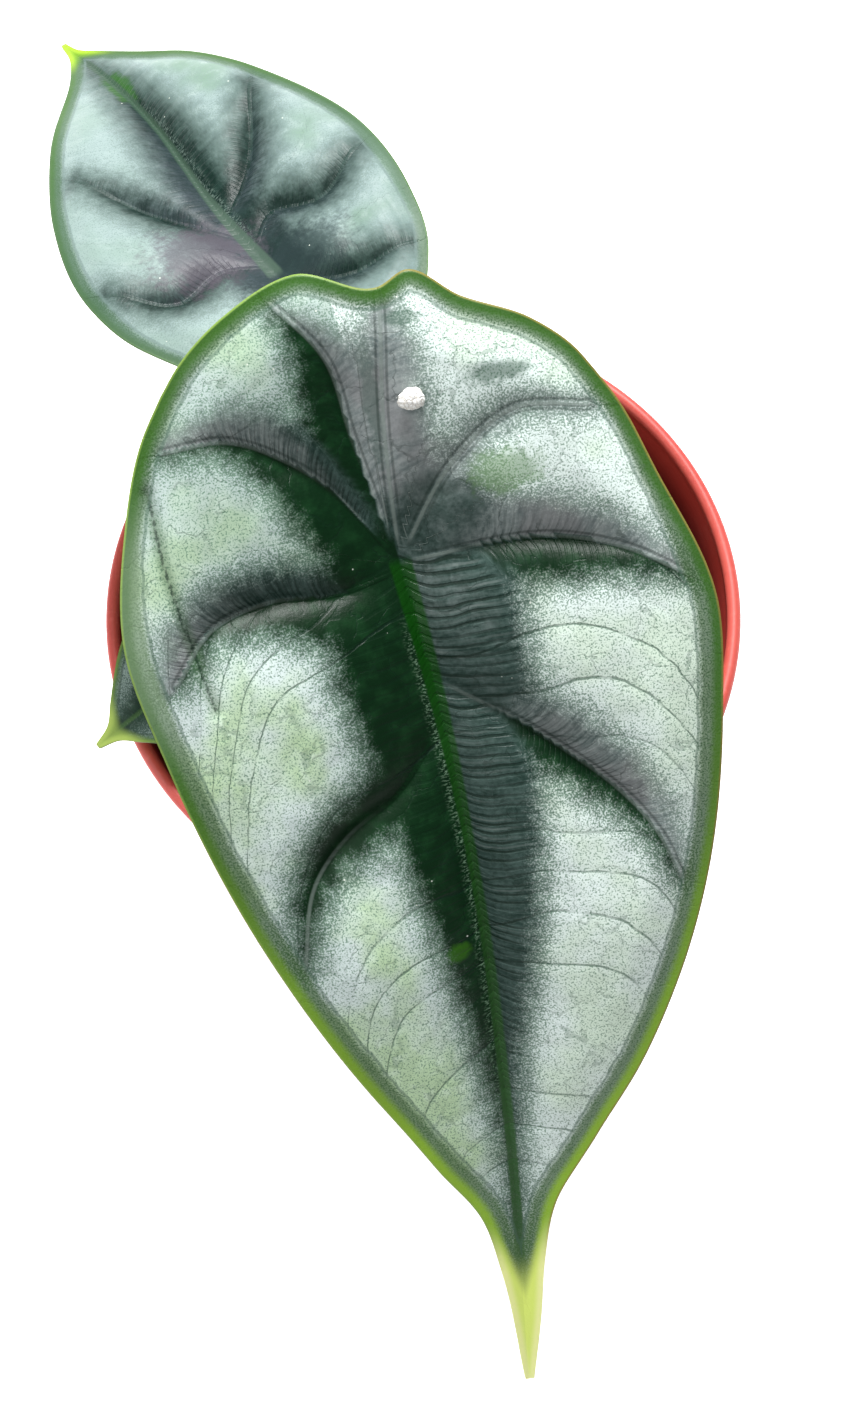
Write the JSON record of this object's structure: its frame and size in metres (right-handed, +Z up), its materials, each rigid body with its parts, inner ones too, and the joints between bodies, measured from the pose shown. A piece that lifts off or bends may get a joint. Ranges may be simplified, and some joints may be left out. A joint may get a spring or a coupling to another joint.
{
  "type": "potted alocasia",
  "caption": "Young silver-leaved alocasia with pointed shield-shaped blades on upright stalks, in a tapered terracotta-coloured plastic nursery pot filled with soil.",
  "frame": {"origin": "centre of the pot's flat bottom, on the pot's axis, where it stands on a surface", "axes": "+Z up along the pot's axis; the big blade hangs toward -Y and the back blade toward -X and +Y"},
  "size_m": [0.1098, 0.206, 0.1842],
  "materials": {
    "pot_plastic": "satin",
    "potting_soil": "matte",
    "stem_bark": "matte",
    "leaf_stalk": "satin",
    "silver_leaf": "satin",
    "back_leaf": "satin",
    "low_leaf": "satin",
    "perlite": "matte",
    "bark": "matte"
  },
  "bodies": {
    "root": {"pot": "pot_plastic", "soil": "potting_soil", "stem_base": "stem_bark", "stalk_main": "leaf_stalk", "stalk_back": "leaf_stalk", "stalk_low": "leaf_stalk", "blade_main": "silver_leaf", "blade_back": "back_leaf", "blade_low": "low_leaf", "leaf_crumb": "perlite", "perlite_01": "perlite", "perlite_02": "perlite", "perlite_03": "perlite", "perlite_04": "perlite", "perlite_05": "perlite", "perlite_06": "perlite", "perlite_07": "perlite", "perlite_08": "perlite", "perlite_09": "perlite", "perlite_10": "perlite", "perlite_11": "perlite", "bark_chip_01": "bark", "bark_chip_02": "bark", "bark_chip_03": "bark", "bark_chip_04": "bark", "bark_chip_05": "bark", "bark_chip_06": "bark", "bark_chip_07": "bark", "bark_chip_08": "bark", "bark_chip_09": "bark", "bark_chip_10": "bark"}
  },
  "joints": []
}
